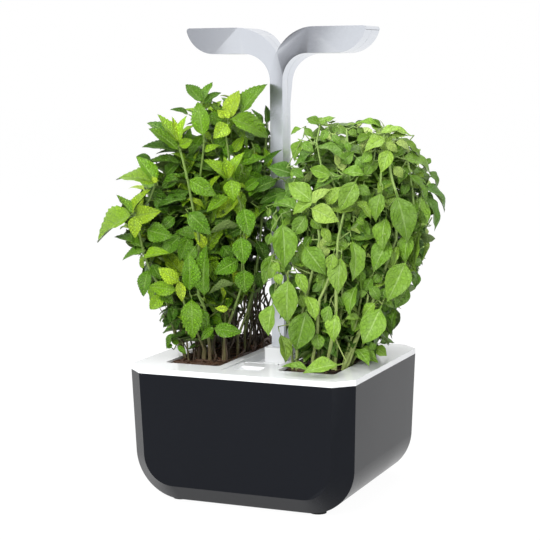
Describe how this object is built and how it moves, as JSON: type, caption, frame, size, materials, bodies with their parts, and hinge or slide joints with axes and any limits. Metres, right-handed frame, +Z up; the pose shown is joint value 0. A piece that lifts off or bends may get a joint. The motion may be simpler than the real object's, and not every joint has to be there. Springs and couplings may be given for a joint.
{
  "type": "countertop hydroponic garden",
  "caption": "Dark bevelled water tank with a white two-well planting tray, a mint and a basil plant, and a silver Y-shaped grow lamp on a sliding mast.",
  "frame": {"origin": "on the table, under the middle of the tank", "axes": "+X to the right and +Y to the back as seen from the front, +Z up along the mast"},
  "size_m": [0.2706, 0.1881, 0.3943],
  "materials": {
    "dark_casing": "satin",
    "black_rubber": "matte",
    "white_tray": "gloss",
    "screw_steel": "satin",
    "black_plastic": "satin",
    "clear_white": "satin",
    "float_red": "satin",
    "basket_grey": "matte",
    "growing_medium": "matte",
    "felt_wick": "matte",
    "mint_stem": "matte",
    "basil_stem": "satin",
    "mint_leaf": "satin",
    "basil_leaf": "satin",
    "lamp_silver": "satin",
    "lens_white": "satin",
    "board_white": "satin",
    "led_yellow": "satin",
    "sink_aluminium": "satin",
    "board_green": "satin",
    "lead_white": "satin",
    "button_grey": "satin"
  },
  "bodies": {
    "base": {"tank_shell": "dark_casing", "rubber_feet": "black_rubber"},
    "tray": {"planting_tray": "white_tray", "mast_socket": "white_tray", "socket_screws": "screw_steel", "dc_inlet": "black_plastic", "float_cage": "clear_white", "flap_pin": "screw_steel"},
    "flap": {"fill_flap": "white_tray"},
    "gauge": {"level_float": "float_red"},
    "mint_pod": {"mint_basket": "basket_grey", "mint_substrate": "growing_medium", "mint_wick": "felt_wick", "mint_stems": "mint_stem", "mint_foliage": "mint_leaf"},
    "basil_pod": {"basil_basket": "basket_grey", "basil_substrate": "growing_medium", "basil_wick": "felt_wick", "basil_stems": "basil_stem", "basil_foliage": "basil_leaf"},
    "lamp": {"lamp_front_cover": "lamp_silver", "lamp_rear_cover": "lamp_silver", "lid_left": "lamp_silver", "lid_right": "lamp_silver", "led_lens_left": "lens_white", "led_lens_right": "lens_white", "led_board_left": "board_white", "led_board_right": "board_white", "led_chips_left": "led_yellow", "led_chips_right": "led_yellow", "heat_sink_left": "sink_aluminium", "heat_sink_right": "sink_aluminium", "driver_board": "board_green", "mast_core": "sink_aluminium", "mast_plug": "black_plastic", "lamp_lead": "lead_white", "cover_screws": "screw_steel", "button_switch": "black_plastic"},
    "button": {"lamp_button": "button_grey"}
  },
  "joints": [
    {"name": "tray_lift", "type": "slide", "parent": "base", "child": "tray", "axis": [0, 0, 1], "range_m": [0, 0.12]},
    {"name": "flap_hinge", "type": "hinge", "parent": "tray", "child": "flap", "pos_m": [0, -0.032, 0.1124], "axis": [-1, 0, 0], "range_deg": [0, 100]},
    {"name": "gauge_float", "type": "slide", "parent": "tray", "child": "gauge", "axis": [0, 0, 1], "range_m": [0, 0.044]},
    {"name": "mint_lift", "type": "slide", "parent": "tray", "child": "mint_pod", "axis": [0, 0, 1], "range_m": [0, 0.016]},
    {"name": "basil_lift", "type": "slide", "parent": "tray", "child": "basil_pod", "axis": [0, 0, 1], "range_m": [0, 0.03]},
    {"name": "lamp_height", "type": "slide", "parent": "tray", "child": "lamp", "axis": [0, 0, 1], "range_m": [0, 0.07]},
    {"name": "button_press", "type": "slide", "parent": "lamp", "child": "button", "axis": [0, -1, 0], "range_m": [0, 0.001], "stiffness_N_per_m": 400}
  ]
}
